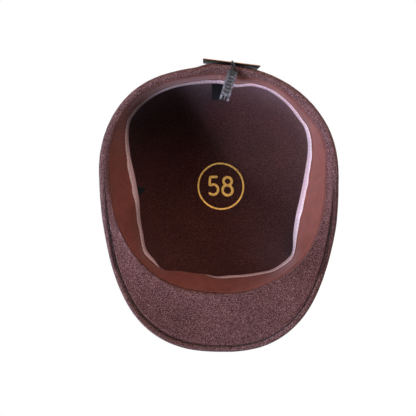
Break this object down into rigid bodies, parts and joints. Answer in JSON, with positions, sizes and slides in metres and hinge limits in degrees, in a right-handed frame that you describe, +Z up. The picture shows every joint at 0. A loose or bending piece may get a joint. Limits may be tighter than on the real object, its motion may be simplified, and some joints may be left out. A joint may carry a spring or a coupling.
{
  "type": "flat cap",
  "caption": "Moulded felt duckbill flat cap with a turned-in edge, a leaning sweatband with bound edge, a stiffened peak and a swing tag.",
  "frame": {"origin": "centre of the cap's box on the ground it rests on, crown up", "axes": "+Z up through the crown, -Y towards the peak, +Y towards the back of the head, +X to the wearer's left"},
  "size_m": [0.21, 0.2618, 0.0988],
  "materials": {
    "crown_felt": "brushed wool felt, dark brown marl",
    "facing_felt": "wool felt, dark brown marl",
    "board": "plain sheet",
    "leatherette": "smooth, slight sheen",
    "tape": "ribbed grosgrain tape",
    "label_satin": "woven satin",
    "gold_foil": "hot-stamped foil",
    "dark_thread": "twisted thread",
    "pale_thread": "twisted thread",
    "black_card": "matt card",
    "cord": "round waxed cord",
    "seal_plastic": "moulded, satin gloss"
  },
  "bodies": {
    "cap": {"crown_shell": "crown_felt", "underbrim": "facing_felt", "peak_board": "board", "sweatband": "leatherette", "band_binding": "tape", "care_label": "label_satin", "size_label": "label_satin", "foil_ring": "gold_foil", "foil_numeral": "gold_foil", "edge_stitching": "dark_thread", "seam_stitching": "dark_thread", "binding_stitching": "pale_thread", "join_stitching": "pale_thread", "tag_cord": "cord"},
    "card": {"swing_card": "black_card"},
    "seal": {"seal_body": "seal_plastic", "seal_plug": "seal_plastic"}
  },
  "joints": [
    {"name": "card_swing", "type": "hinge", "parent": "cap", "child": "card", "pos_m": [-0.01, 0.13038, 0.00365], "axis": [-0.9962, -0.0872, 0], "range_deg": [0, 88]},
    {"name": "seal_swing", "type": "hinge", "parent": "cap", "child": "seal", "pos_m": [-0.0115, 0.1226, 0.002], "axis": [0, 0, 1], "range_deg": [-25, 30]}
  ]
}
